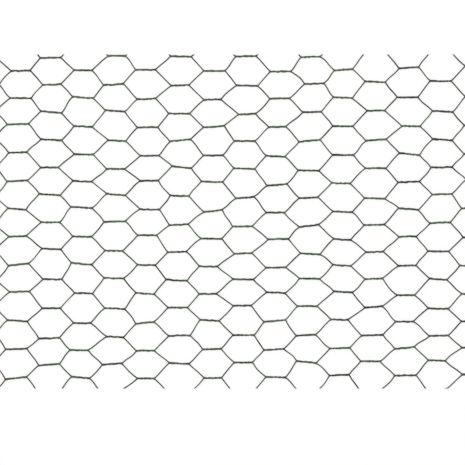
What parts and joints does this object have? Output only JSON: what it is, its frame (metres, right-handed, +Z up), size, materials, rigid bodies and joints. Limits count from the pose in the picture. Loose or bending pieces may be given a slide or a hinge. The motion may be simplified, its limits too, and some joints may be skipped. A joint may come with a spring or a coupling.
{
  "type": "hexagonal wire netting sheet",
  "caption": "Flat cut sheet of dark green plastic-coated hexagonal wire netting with twisted joints, lying flat.",
  "frame": {"origin": "middle of the sheet's outline, on the surface that it lies on", "axes": "+X along the wires and their twists, +Y across the wires towards the cut edge beside a row of twists, +Z up off the surface"},
  "size_m": [0.42, 0.3, 0.0021],
  "materials": {
    "coated_wire": "dark green plastic coating over steel wire, satin, slightly dusty"
  },
  "bodies": {
    "root": {"netting": "coated_wire"}
  },
  "joints": []
}
